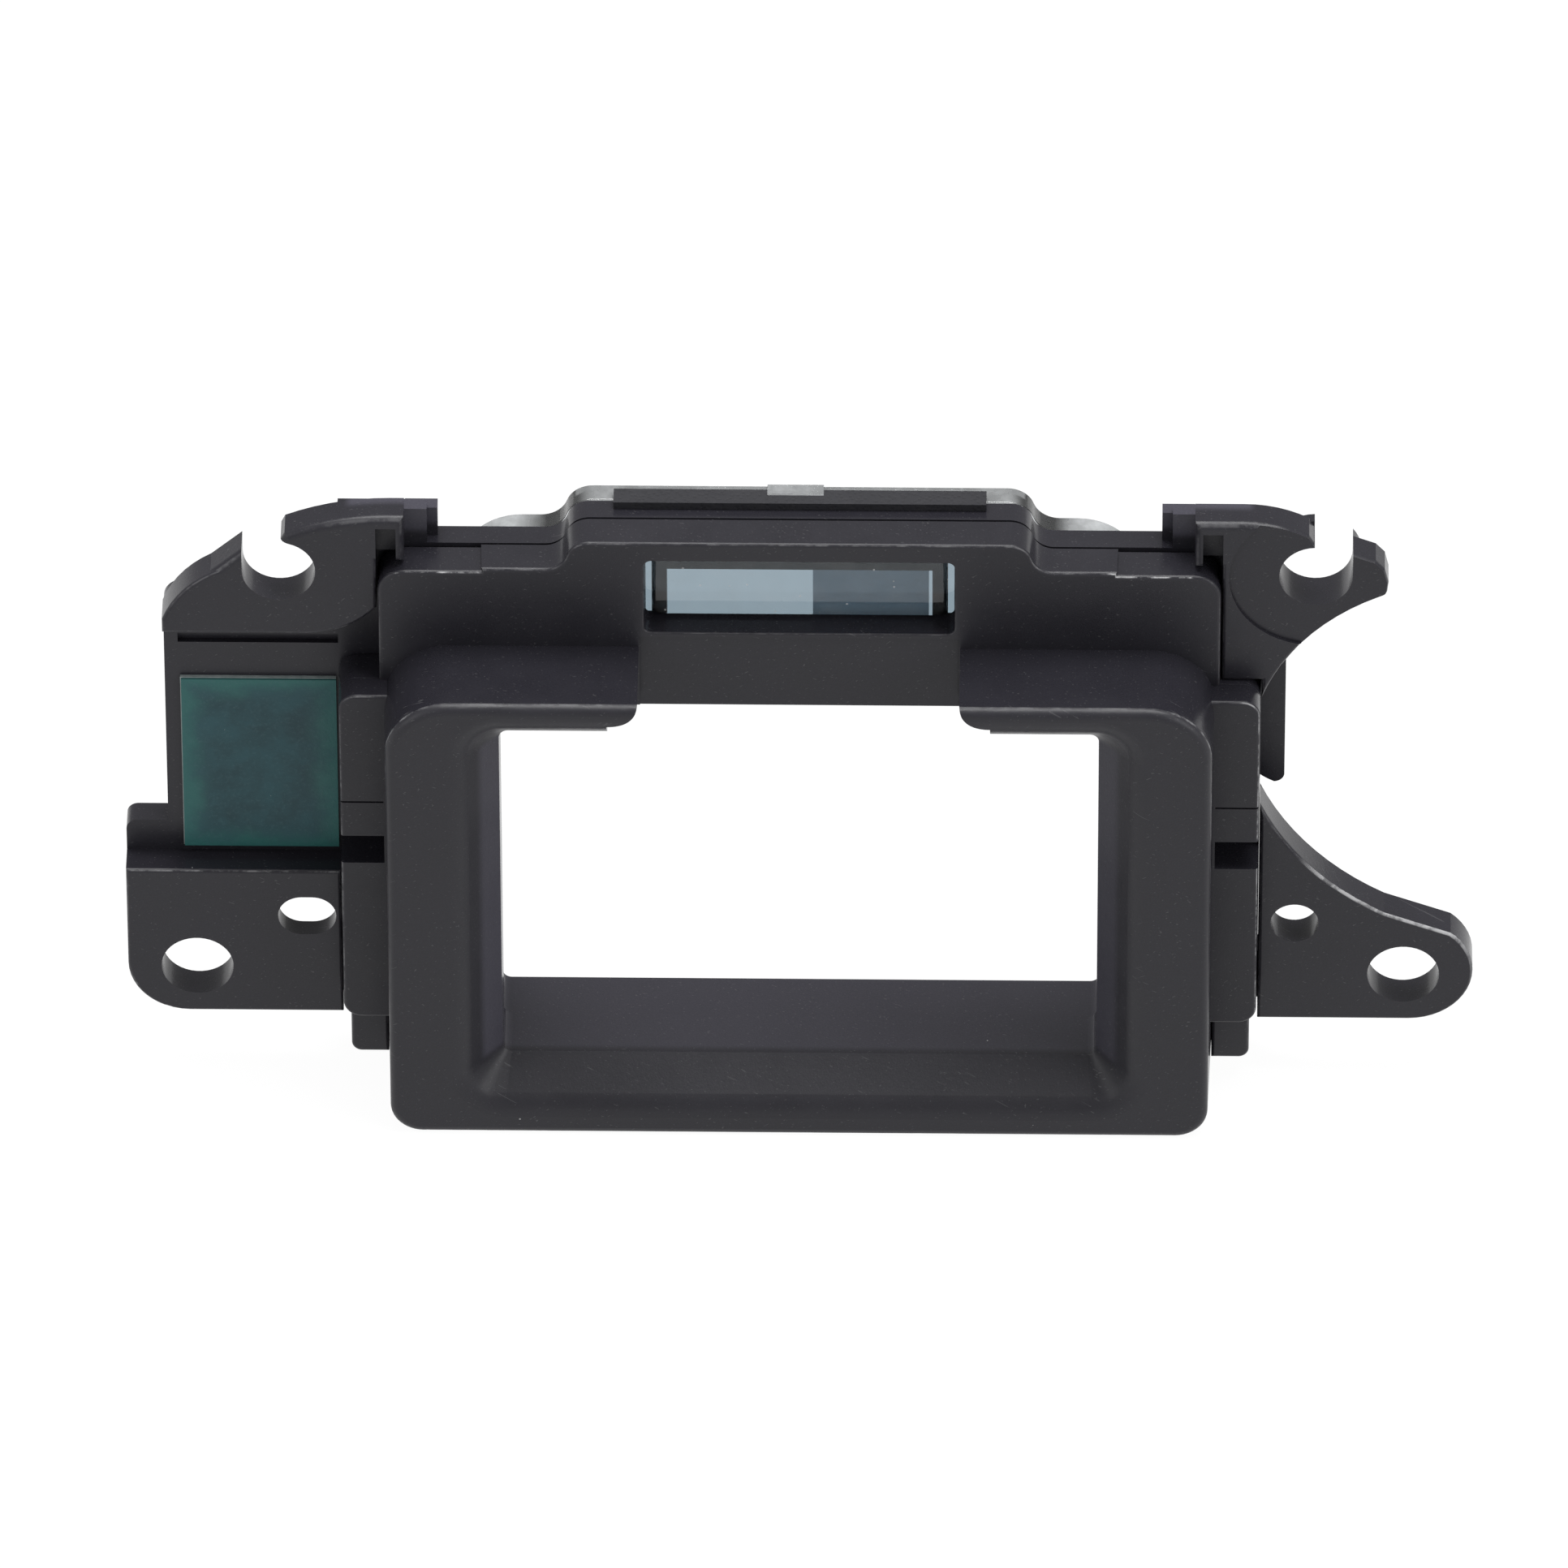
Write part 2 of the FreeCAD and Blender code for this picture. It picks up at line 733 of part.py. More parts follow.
def make_ear_frame():
    body = new_body("ear_frame")
    slab(body, "base", "ear_back", "base_back", base_outline())
    slab(body, "recess_plate", "ear_back", "base_back", recess_outline())
    slab(body, "left_upper", "ear_front", "ear_back", left_upper_outline())
    slab(body, "left_lower", "ear_front", "ear_back", left_lower_outline())
    slab(body, "right_upper", "ear_front", "ear_back", right_upper_outline())
    slab(body, "right_lower", "ear_front", "ear_back", right_lower_outline())
    soften(body, "ear_edge", "ear_round", "ear_front", above_base)
    soften(body, "low_edge", "edge_round", "ear_front")
    slab(body, "hook_boss", "ear_back", "hook_back", ("right_hook", "hook_level", "hook_boss"))
    slab(body, "tabs", "ear_back", "tab_back",
         box("tab_reach", "mid_top", "rail_reach", "tab_high"),
         box("-rail_reach", "mid_top", "-tab_reach", "tab_high"))
    slab(body, "fringes", "hook_back", "base_back",
         box("fringe_reach", "mid_top", "bridge_reach", "fringe_high"),
         box("-bridge_reach", "mid_top", "-fringe_reach", "fringe_high"))
    slab(body, "roots", "ear_back", "base_back",
         box("rail_reach", "ear_bottom", "rail_reach + root_width", "root_top"),
         box("rail_reach", "fin_high - fin_lap", "rail_reach + root_width", "mid_top"),
         box("-rail_reach - root_width", "ear_bottom", "-rail_reach", "root_top"),
         box("-rail_reach - root_width", "left_shelf + lap", "-rail_reach", "mid_top"))
    slab(body, "fin", "base_back", "shell_back", fin_outline())
    slab(body, "feet", "foot_front", "base_back", foot_outline(), flip(foot_outline()))
    soften(body, "foot_edge", "edge_round", "foot_front")
    cut(body, "bezel_way", "ear_back", "base_back",
        mid_box("collar_reach + play", "collar_low - play", "collar_high + play", "mouth_corner"))
    cut(body, "apertures", "ear_back", "base_back",
        box("aperture_left", "aperture_low", "aperture_right", "aperture_high"),
        box("end_slot_inner", "end_slot_low", "end_slot_outer", "end_slot_high"),
        box("-end_slot_outer", "end_slot_low", "-end_slot_inner", "end_slot_high"))
    cut(body, "post_holes", "ear_back", "base_back", *posts("post_radius"))
    cut(body, "hook_holes", "ear_front", "base_back", *hooks("hook_radius"))
    cut(body, "hook_mouths", "ear_front", "base_back",
        box("right_hook + hook_radius - hook_mouth", "hook_level", "right_hook + hook_radius", "ear_high"),
        box("-left_hook - hook_radius", "hook_level", "-left_hook - hook_radius + hook_mouth", "ear_high"))
    cut(body, "screw_holes", "ear_front", "ear_back",
        ("screw_reach", "screw_level", "screw_radius"), ("-screw_reach", "screw_level", "screw_radius"))
    cut(body, "guide_holes", "ear_front", "ear_back",
        ("guide_reach", "guide_level", "guide_radius"), slot_outline("guide_radius"))
    cut(body, "slot_relief", "slot_floor", "base_back", slot_outline("(guide_radius + slot_margin)"))
    cut(body, "slits", "ear_front", "slit_floor",
        box("slit_inner", "mid_top + play", "slit_outer", "slit_high"),
        box("-slit_outer", "mid_top + play", "-slit_inner", "slit_high"))
    cut(body, "dish", "ear_front", "dish_floor", ("right_hook", "hook_level", "dish_radius"))
    cut(body, "shelf_groove", "ear_back", "groove_floor",
        box("-groove_end", "groove_low", "-ear_root", "groove_high"))
    return body


def above_base(box_):
    """Whether an edge lies on the upper part of an upper ear, which has the larger rounding."""
    return box_.ZMin > number("round_low")


# ---------------------------------------------------------------- rear shell and light seal

def shell_outline():
    return both_sides([
        ("shell_reach - shell_low_corner", "0"),
        ("shell_reach", "shell_low_corner", "shell_low_corner"),
        ("shell_reach", "shoulder_top - shoulder_round"),
        ("shell_reach - shoulder_round", "shoulder_top", "shoulder_round"),
    ] + wave("brow_start", "shoulder_top", "brow_end", "brow_top"))


def make_rear_shell():
    """The clear frame behind the ear frame, with the remains of its moulding gate on top."""
    body = new_body("rear_shell")
    slab(body, "barrel", "base_back", "shell_back", shell_outline())
    cut(body, "way", "base_back", "shell_back",
        mid_box("shell_open", "shell_open_low", "shell_open_high", "throat_corner"))
    cut(body, "sensor_way", "base_back", "shell_back",
        box("-sensor_reach", "sensor_low", "sensor_reach", "sensor_high"))
    slab(body, "gate", "gate_front", "shell_back", box("gate_left", "sensor_high", "gate_right", "gate_top"))
    soften(body, "shell_top", "shell_edge", "base_back")
    return body


def make_rear_light_seal():
    body = new_body("rear_light_seal")
    slab(body, "seal", "shell_back", "seal_back",
         mid_box("seal_reach", "seal_bottom", "seal_high", "shell_low_corner"),
         mid_box("seal_open", "seal_open_low", "shell_open_high", "throat_corner"))
    return body


# ---------------------------------------------------------------- window, shade, strip and pad

def make_sensor_window():
    body = new_body("sensor_window")
    slab(body, "flange", "glass_step", "glass_back",
         box("-flange_reach + glass_play", "flange_low + glass_play",
             "flange_reach - glass_play", "flange_high - glass_play"))
    slab(body, "middle", "glass_front", "glass_step",
         mid_box("glass_reach", "glass_low", "glass_high", "pane_corner"))
    soften(body, "middle_edge", "glass_bevel", "glass_front")
    return body


def make_window_tape():
    """The adhesive band that holds the window's flange to the ear frame, above the apertures."""
    body = new_body("window_tape")
    slab(body, "tape", "glass_back", "ear_back",
         box("-flange_reach + glass_play", "tape_low",
             "flange_reach - glass_play", "flange_high - glass_play"))
    return body


def make_light_block():
    body = new_body("light_block")
    slab(body, "block", "ear_back", "base_back",
         box("shade_left", "aperture_low", "shade_right", "aperture_high"))
    return body


def make_top_strip():
    body = new_body("top_strip")
    slab(body, "strip", "strip_front", "base_back",
         box("-strip_reach", "brow_top", "strip_reach", "strip_top"))
    slab(body, "strip_rear", "base_back", "strip_back",
         box("-strip_reach", "brow_top", "gate_left", "strip_top"),
         box("gate_right", "brow_top", "strip_reach", "strip_top"))
    return body


def make_pad_film():
    body = new_body("pad_film")
    slab(body, "film", "film_front", "film_back",
         box("pad_left + film_step", "pad_low", "pad_right", "pad_high - film_step"))
    return body


def make_pad_adhesive():
    body = new_body("pad_adhesive")
    slab(body, "adhesive", "film_back", "ear_back", box("pad_left", "pad_low", "pad_right", "pad_high"))
    return body


# ---------------------------------------------------------------- build, test and write

NODES = [
    make_front_bezel(), make_ear_frame(), make_rear_shell(), make_rear_light_seal(),
    make_sensor_window(), make_window_tape(), make_light_block(), make_top_strip(),
    make_pad_film(), make_pad_adhesive(),
]
doc.recompute()

for item in doc.Objects:
    if "Invalid" in item.State or "Error" in item.State:
        raise RuntimeError("%s failed: %s" % (item.Label, item.State))

os.makedirs("parts", exist_ok=True)
for node in NODES:
    if node.Shape.isNull() or not node.Shape.isValid() or not node.Shape.Solids:
        raise RuntimeError("%s has no valid solid" % node.Label)
    node.Shape.exportStep("parts/%s.step" % node.Label)
    print(node.Label, len(node.Shape.Solids), round(node.Shape.Volume, 2))
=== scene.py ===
"""Looks of the eyepiece frame: its materials, the studio and the camera.

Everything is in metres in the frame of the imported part: X to the right, Y to the back, Z up.
Materials work in millimetres of object space, which MM turns metres into.
"""
import math

import bpy
from mathutils import Matrix, Vector


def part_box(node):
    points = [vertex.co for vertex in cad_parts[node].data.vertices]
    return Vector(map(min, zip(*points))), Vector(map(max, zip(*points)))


MM = 1000.0

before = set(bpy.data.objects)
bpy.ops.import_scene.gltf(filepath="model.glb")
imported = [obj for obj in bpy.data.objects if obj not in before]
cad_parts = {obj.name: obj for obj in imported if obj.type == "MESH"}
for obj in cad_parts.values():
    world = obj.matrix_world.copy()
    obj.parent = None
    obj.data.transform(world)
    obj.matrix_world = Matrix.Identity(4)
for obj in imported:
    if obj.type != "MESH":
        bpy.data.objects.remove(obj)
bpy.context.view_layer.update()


# ---------------------------------------------------------------- node helpers

class Graph:
    """A material's node tree, with short ways to add and join nodes. Lengths are in millimetres."""

    def __init__(self, name):
        self.material = bpy.data.materials.new(name)
        self.material.use_nodes = True
        self.tree = self.material.node_tree
        self.tree.nodes.clear()
        self.output = self.add("ShaderNodeOutputMaterial")
        coordinates = self.add("ShaderNodeTexCoord")
        self.place = self.vector("MULTIPLY", coordinates.outputs["Object"], (MM, MM, MM))
        self.normal = coordinates.outputs["Normal"]

    def add(self, kind, **settings):
        """A new node with the given settings."""
        node = self.tree.nodes.new(kind)
        for name, value in settings.items():
            setattr(node, name, value)
        return node

    def feed(self, socket, value):
        """Join an output to a socket, or set the socket to a value."""
        if isinstance(value, bpy.types.NodeSocket):
            self.tree.links.new(value, socket)
        else:
            socket.default_value = value

    def math(self, operation, *values, clamp=False):
        """The result of an operation on numbers."""
        node = self.add("ShaderNodeMath", operation=operation, use_clamp=clamp)
        for socket, value in zip(node.inputs, values):
            self.feed(socket, value)
        return node.outputs[0]

    def vector(self, operation, *values):
        """The result of an operation on vectors."""
        node = self.add("ShaderNodeVectorMath", operation=operation)
        for socket, value in zip(node.inputs, values):
            self.feed(socket, value)
        return node.outputs[0]

    def split(self, value):
        """The three parts of a vector or colour."""
        node = self.add("ShaderNodeSeparateXYZ")
        self.feed(node.inputs[0], value)
        return node.outputs

    def noise(self, size, detail=2.0, rough=0.5):
        """Noise between about 0 and 1 with features of about the given size."""
        node = self.add("ShaderNodeTexNoise", noise_dimensions="3D")
        self.feed(node.inputs["Vector"], self.place)
        self.feed(node.inputs["Scale"], 1.0 / size)
        self.feed(node.inputs["Detail"], detail)
        self.feed(node.inputs["Roughness"], rough)
        return node.outputs["Fac"]

    def cells(self, spacing):
        """The nearest point of a random lattice, as a node with its distance and its colour."""
        node = self.add("ShaderNodeTexVoronoi", voronoi_dimensions="3D", feature="F1")
        self.feed(node.inputs["Vector"], self.place)
        self.feed(node.inputs["Scale"], 1.0 / spacing)
        return node

    def ramp(self, value, low, high, start=0.0, end=1.0):
        """The value mapped smoothly from low..high to start..end."""
        node = self.add("ShaderNodeMapRange", interpolation_type="SMOOTHSTEP")
        for socket, number in zip(node.inputs, (value, low, high, start, end)):
            self.feed(socket, number)
        return node.outputs[0]

    def mix(self, factor, first, second):
        """A colour between two colours."""
        node = self.add("ShaderNodeMix", data_type="RGBA")
        self.feed(node.inputs["Factor"], factor)
        self.feed(node.inputs["A"], first)
        self.feed(node.inputs["B"], second)
        return node.outputs["Result"]

    def cover(self, base, mask, opacity, colour):
        """The base colour with another colour over it where the mask is."""
        return self.mix(self.math("MULTIPLY", mask, opacity), base, colour)

    def specks(self, spacing, radius, rarity):
        """Small round spots of up to the given radius, in a few of the cells of a random lattice."""
        lattice = self.cells(spacing)
        chosen = self.split(lattice.outputs["Color"])
        size = self.math("MULTIPLY", chosen[1], radius / spacing)
        spot = self.math("LESS_THAN", lattice.outputs["Distance"], size)
        rare = self.math("LESS_THAN", chosen[0], rarity)
        return self.math("MULTIPLY", spot, rare)

    def scratches(self, angle, length, width, rarity, tilt=0.3):
        """Fine straight marks: stretched noise of which only the peaks are kept."""
        turned = self.add("ShaderNodeVectorRotate", rotation_type="EULER_XYZ")
        self.feed(turned.inputs["Vector"], self.place)
        turned.inputs["Rotation"].default_value = (0.0, angle, tilt)
        squeezed = self.vector("MULTIPLY", turned.outputs[0], (1.0 / length, 1.0 / width, 1.0 / width))
        node = self.add("ShaderNodeTexNoise", noise_dimensions="3D")
        self.feed(node.inputs["Vector"], squeezed)
        self.feed(node.inputs["Scale"], 1.0)
        self.feed(node.inputs["Detail"], 0.0)
        return self.ramp(node.outputs["Fac"], 1.0 - rarity, 1.0 - rarity * 0.8)

    def bump(self, height, distance, strength):
        """A normal bent by a height between 0 and 1 that stands for the given distance."""
        node = self.add("ShaderNodeBump")
        self.feed(node.inputs["Height"], height)
        node.inputs["Distance"].default_value = distance / MM
        node.inputs["Strength"].default_value = strength
        return node.outputs["Normal"]

    def shader(self, **sockets):
        """A Principled shader; an underscore in a socket's name stands for a space."""
        node = self.add("ShaderNodeBsdfPrincipled")
        for name, value in sockets.items():
            self.feed(node.inputs[name.replace("_", " ")], value)
        return node

    def blend(self, factor, first, second):
        """A shader between two shaders."""
        node = self.add("ShaderNodeMixShader")
        self.feed(node.inputs[0], factor)
        self.feed(node.inputs[1], first.outputs[0])
        self.feed(node.inputs[2], second.outputs[0])
        return node

    def finish(self, shader):
        """Join the shader to the output and give back the material."""
        self.feed(self.output.inputs["Surface"], shader.outputs[0])
        return self.material


def grey(level, blue=0.0):
    """A linear grey, with that share more blue."""
    return (level, level, level * (1.0 + blue), 1.0)


def violet(level):
    """The blue-violet near-black of the mouldings."""
    return (level * 1.04, level, level * 1.3, 1.0)


# ---------------------------------------------------------------- moulded plastic

CLEAR_IOR = 1.49          # of acrylic: the window and the clear rear frame
PLASTIC_SPECULAR = 0.30
RING_FRONT = -3.3         # Y ahead of which only the front edges of the ring lie
WEAR_AND_HIGHLIGHT_FADE = 0.3           # over which wear and painted highlight fade outside their box
STRIP_FADE = 1.5
# Pale colour of the rubbed edges, which also serves as painted highlight on the roundings.
RUBBED_AND_HIGHLIGHT = grey(0.34, 0.02)
SCRATCHED = grey(0.14, 0.02)
LINT = grey(0.2)
DUST = grey(0.42)


def band(graph, value, low, high, soft):
    """1 between low and high, fading over soft on either side."""
    rising = graph.ramp(value, low - soft, low + soft)
    falling = graph.ramp(value, high - soft, high + soft, 1.0, 0.0)
    return graph.math("MULTIPLY", rising, falling)


def inside_box(graph, box, soft=0.02):
    """1 inside a box, which is its low and its high corner, fading to 0 over soft outside it."""
    low, high = box
    axes = graph.split(graph.place)
    inside = 1.0
    for axis in range(3):
        above = graph.ramp(axes[axis], low[axis] - soft, low[axis])
        below = graph.ramp(axes[axis], high[axis], high[axis] + soft, 1.0, 0.0)
        inside = graph.math("MULTIPLY", inside, graph.math("MULTIPLY", above, below))
    return inside


def any_of(graph, masks):
    """The largest of some masks."""
    total = masks[0]
    for mask in masks[1:]:
        total = graph.math("MAXIMUM", total, mask)
    return total


def front_facing(graph):
    """How squarely the surface faces the front or the back: 1 on flat fronts, 0 on side walls."""
    return graph.math("ABSOLUTE", graph.split(graph.normal)[1])


def worn_and_highlit_line(graph, places, spared):
    """How much the front edges are rubbed and highlighted: thin broken lines of wear and painted
    highlight in the given boxes, none in the spared ones.
    """
    facing = front_facing(graph)
    thin = band(graph, facing, 0.55, 0.84, 0.08)
    # On the ring the line lies on the upper side of the rounding, where a painted highlight stands for
    # the bright reflection there.
    ring = band(graph, facing, 0.06, 0.30, 0.05)
    ahead = graph.math("LESS_THAN", graph.split(graph.place)[1], RING_FRONT)
    line = graph.math("ADD", graph.math("MULTIPLY", ring, ahead),
                      graph.math("MULTIPLY", thin, graph.math("SUBTRACT", 1.0, ahead)))
    broken = graph.ramp(graph.noise(0.9, detail=5.0, rough=0.7), 0.42, 0.62)
    line = graph.math("MULTIPLY", line, broken)
    amount = any_of(graph, [graph.math("MULTIPLY", inside_box(graph, box, WEAR_AND_HIGHLIGHT_FADE), strength)
                            for box, strength in places])
    for box in spared:
        outside = graph.math("SUBTRACT", 1.0, inside_box(graph, box))
        amount = graph.math("MULTIPLY", amount, outside)
    return graph.math("MULTIPLY", line, amount)


def rubbed_and_highlit_strip(graph, box):
    """A broad strip of wear and painted highlight over the whole rounding and a little of the face,
    inside a box.
    """
    rounding = band(graph, front_facing(graph), 0.2, 0.93, 0.06)
    strip = graph.math("MULTIPLY", inside_box(graph, box, STRIP_FADE), rounding)
    return graph.math("MULTIPLY", strip, graph.ramp(graph.noise(0.5, detail=4.0), 0.35, 0.55, 0.3, 1.0))


def plastic(name, level, roughness, grain, worn_and_highlit, spared=(), grained_and_painted_light=(), strips=()):
    """Black moulded plastic: semi-gloss, faint mottling, dust, scratches, and pale rubbed edges that are
    partly painted highlight.

    One list of boxes holds the strength of the edge wear and painted highlight, and in the spared boxes
    there is none. In the boxes that come with a paleness factor the surface is coarser and painted that
    many times paler, as painted light. Side walls are smoother.
    """
    graph = Graph(name)
    mottle = graph.noise(2.6, detail=4.0, rough=0.6)
    fine = graph.noise(0.07, detail=2.0, rough=0.6)
    pores = graph.noise(0.22, detail=1.0)
    dust = graph.specks(spacing=0.9, radius=0.045, rarity=0.06)
    lint = graph.scratches(angle=0.6, length=2.5, width=0.05, rarity=0.22)
    marks = graph.scratches(angle=-0.4, length=4.0, width=0.06, rarity=0.2)
    # Pale edge lines and strips: real wear together with painted highlight.
    edge = worn_and_highlit_line(graph, worn_and_highlit, spared)
    for box in strips:
        edge = graph.math("MAXIMUM", edge, graph.math("MULTIPLY", rubbed_and_highlit_strip(graph, box), 0.8))

    base = graph.mix(mottle, violet(level * 0.8), violet(level * 1.2))
    base = graph.mix(graph.ramp(fine, 0.35, 0.75, 0.0, 0.25), base, violet(level * 1.7))
    # Coarser and painted paler in these boxes: painted light on the mouth walls, the mouth floor and the
    # ear tabs.
    for box, gain in grained_and_painted_light:
        coarse_and_painted_light = graph.math("MULTIPLY", inside_box(graph, box, 0.4), graph.ramp(fine, 0.3, 0.7, 0.8, 1.0))
        base = graph.mix(coarse_and_painted_light, base, violet(level * gain))
    base = graph.mix(edge, base, RUBBED_AND_HIGHLIGHT)
    base = graph.cover(base, marks, 0.2, SCRATCHED)
    base = graph.cover(base, lint, 0.15, LINT)
    base = graph.cover(base, dust, 0.6, DUST)

    rough = graph.ramp(mottle, 0.3, 0.7, roughness - 0.03, roughness + 0.05)
    rough = graph.math("ADD", rough, graph.ramp(pores, 0.4, 0.7, 0.0, 0.03))
    rough = graph.math("MULTIPLY", rough, graph.ramp(front_facing(graph), 0.02, 0.2, 0.55, 1.0))
    height = graph.math("ADD", fine, graph.math("MULTIPLY", pores, 0.8))
    normal = graph.bump(height, grain, 0.6)
    shader = graph.shader(Base_Color=base, Roughness=rough, Specular_IOR_Level=PLASTIC_SPECULAR,
                          Normal=normal)
    return graph.finish(shader)


def clear_plastic(name, milky_and_reflection):
    """Clear polished plastic with a pale hazy layer in the given boxes, which have a fade and a strength
    each; that layer is partly milkiness and partly painted reflection.
    """
    least_haze = 0.06
    graph = Graph(name)
    clear = graph.shader(Base_Color=(0.90, 0.92, 0.94, 1.0), Roughness=0.06, IOR=CLEAR_IOR,
                         Transmission_Weight=1.0)
    # Pale grey layer: partly milkiness, partly painted reflection.
    haze_and_reflection = graph.shader(Base_Color=(0.33, 0.34, 0.345, 1.0), Roughness=0.35)
    cloud = graph.ramp(graph.noise(1.0, detail=4.0, rough=0.6), 0.35, 0.75, 0.75, 1.15)
    cover = any_of(graph, [graph.math("MULTIPLY", inside_box(graph, box, soft), strength)
                           for box, soft, strength in milky_and_reflection])
    cover = graph.math("MULTIPLY", cover, cloud, clamp=True)
    return graph.finish(graph.blend(graph.math("MAXIMUM", cover, least_haze), clear, haze_and_reflection))


def foam(name, level):
    """Closed-cell black foam: soft, with small open cells."""
    graph = Graph(name)
    cells = graph.cells(spacing=0.16)
    pit = graph.ramp(cells.outputs["Distance"], 0.1, 0.6)
    mottle = graph.noise(1.1, detail=3.0)
    base = graph.mix(pit, grey(level * 0.8, 0.2), grey(level, 0.2))
    base = graph.mix(graph.ramp(mottle, 0.4, 0.7, 0.0, 0.3), base, grey(level * 1.4, 0.15))
    normal = graph.bump(pit, 0.02, 0.5)
    shader = graph.shader(Base_Color=base, Roughness=0.6, Specular_IOR_Level=0.25, Normal=normal)
    return graph.finish(shader)


# ---------------------------------------------------------------- window, block, film, adhesive

def tinted_pane(name):
    """Grey-blue tinted pane, polished, with specks and a thin smear of dust on its front."""
    front_limit = -0.9
    graph = Graph(name)
    glass = graph.shader(Base_Color=(0.26, 0.335, 0.385, 1.0), Roughness=0.0, IOR=CLEAR_IOR,
                         Transmission_Weight=1.0)
    dust = graph.shader(Base_Color=grey(0.55), Roughness=0.9)
    specks = graph.specks(spacing=0.35, radius=0.05, rarity=0.35)
    smear = graph.ramp(graph.noise(0.9, detail=4.0, rough=0.65), 0.35, 0.75, 0.01, 0.05)
    cover = graph.math("MAXIMUM", smear, graph.math("MULTIPLY", specks, 0.45))
    front = graph.math("LESS_THAN", graph.split(graph.normal)[1], front_limit)
    cover = graph.math("MULTIPLY", cover, front)
    return graph.finish(graph.blend(cover, glass, dust))


def shade_block(name):
    """Matt pale blue-grey block behind the pane, dusty, with a painted glow that stands for daylight
    coming through it.
    """
    graph = Graph(name)
    patches = graph.noise(0.7, detail=4.0, rough=0.6)
    dust = graph.specks(spacing=0.3, radius=0.06, rarity=0.3)
    base = graph.mix(patches, (0.62, 0.68, 0.75, 1.0), (0.80, 0.86, 0.92, 1.0))
    base = graph.cover(base, dust, 0.7, grey(0.8))
    normal = graph.bump(patches, 0.03, 0.5)
    # The emission is a painted glow for light coming through the block from behind.
    shader = graph.shader(Base_Color=base, Roughness=0.7, Emission_Color=(0.86, 0.93, 1.0, 1.0),
                          Emission_Strength=0.14, Normal=normal)
    return graph.finish(shader)


def rim_distance(graph, low, high, axes):
    """Distance in millimetres to the nearest edge of a box in metres, along the given axes."""
    place = graph.split(graph.place)
    nearest = None
    for axis in axes:
        from_low = graph.math("SUBTRACT", place[axis], low[axis] * MM)
        to_high = graph.math("SUBTRACT", high[axis] * MM, place[axis])
        least = graph.math("MINIMUM", from_low, to_high)
        nearest = least if nearest is None else graph.math("MINIMUM", nearest, least)
    return nearest


def teal_film(name, node):
    """Thin teal film: mottled, with a fine mesh and dust, greener and lighter towards its rim."""
    deep = (0.006, 0.034, 0.042, 1.0)
    pale = (0.016, 0.060, 0.071, 1.0)
    rim_green = (0.018, 0.105, 0.095, 1.0)
    mesh_glint = (0.045, 0.10, 0.11, 1.0)
    x_and_z = (0, 2)
    graph = Graph(name)
    low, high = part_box(node)
    rim = rim_distance(graph, low, high, x_and_z)
    cloud = graph.noise(1.4, detail=5.0, rough=0.62)
    mesh = graph.noise(0.12, detail=2.0, rough=0.6)
    base = graph.mix(graph.ramp(cloud, 0.3, 0.7), deep, pale)
    wander = graph.math("ADD", rim, graph.ramp(cloud, 0.3, 0.7, -0.35, 0.35))
    base = graph.mix(graph.ramp(wander, 0.0, 1.1, 0.75, 0.0), base, rim_green)
    base = graph.mix(graph.ramp(mesh, 0.5, 0.8, 0.0, 0.3), base, mesh_glint)
    base = graph.cover(base, graph.specks(spacing=0.6, radius=0.04, rarity=0.3), 0.5, grey(0.5))
    rough = graph.ramp(cloud, 0.3, 0.7, 0.42, 0.56)
    normal = graph.bump(graph.math("ADD", cloud, mesh), 0.02, 0.5)
    shader = graph.shader(Base_Color=base, Roughness=rough, Specular_IOR_Level=0.3, Normal=normal)
    return graph.finish(shader)


def adhesive(name):
    """Pale edge of a layer of double-sided adhesive."""
    graph = Graph(name)
    cloud = graph.noise(0.5, detail=4.0)
    base = graph.mix(cloud, (0.10, 0.13, 0.13, 1.0), (0.32, 0.36, 0.36, 1.0))
    normal = graph.bump(cloud, 0.02, 0.5)
    shader = graph.shader(Base_Color=base, Roughness=0.55, Normal=normal)
    return graph.finish(shader)


# ---------------------------------------------------------------- places and pieces

def mirrored(box):
    """The same box on the other side of the middle plane."""
    (x_low, y_low, z_low), (x_high, y_high, z_high) = box
    return (-x_high, y_low, z_low), (-x_low, y_high, z_high)


# Boxes in millimetres, as low and high corner.
EVERYWHERE = ((-30.0, -5.0, -1.0), (30.0, 5.0, 30.0))
FUNNEL = ((-13.3, -3.72, 1.1), (13.3, 2.5, 20.6))
SHOULDER_EDGE = ((-15.4, -0.1, 23.6), (-11.9, 0.3, 25.0))
CROWN_EDGE = ((-11.0, -0.1, 25.0), (11.0, 0.3, 27.0))
LEFT_RAIL_EDGE = ((-17.8, -1.1, 4.0), (-15.9, -0.7, 20.0))
RIGHT_RAIL_EDGE = ((17.0, -1.1, 4.0), (17.8, -0.7, 20.0))
RING_TOP_LEFT = ((-15.9, -3.9, 18.0), (-5.5, -3.3, 21.0))
RING_TOP_RIGHT = ((5.5, -3.9, 15.0), (15.9, -3.3, 21.0))
LEFT_EAR_STEP = ((-26.5, 0.2, 9.0), (-17.0, 0.7, 10.4))
RIGHT_HOOK_TOP = ((20.5, 0.2, 23.0), (23.0, 0.7, 27.0))
LEFT_HOOK_FOOT = ((-21.0, 0.2, 21.0), (-17.0, 0.7, 22.6))
RIGHT_ARM = ((19.6, 0.0, 5.6), (25.0, 0.8, 9.5))
THROAT_LEFT = ((-13.0, -2.7, 3.3), (-11.0, 2.6, 18.5))
THROAT_FLOOR = ((-11.5, -1.6, 2.55), (11.5, 2.6, 3.0))
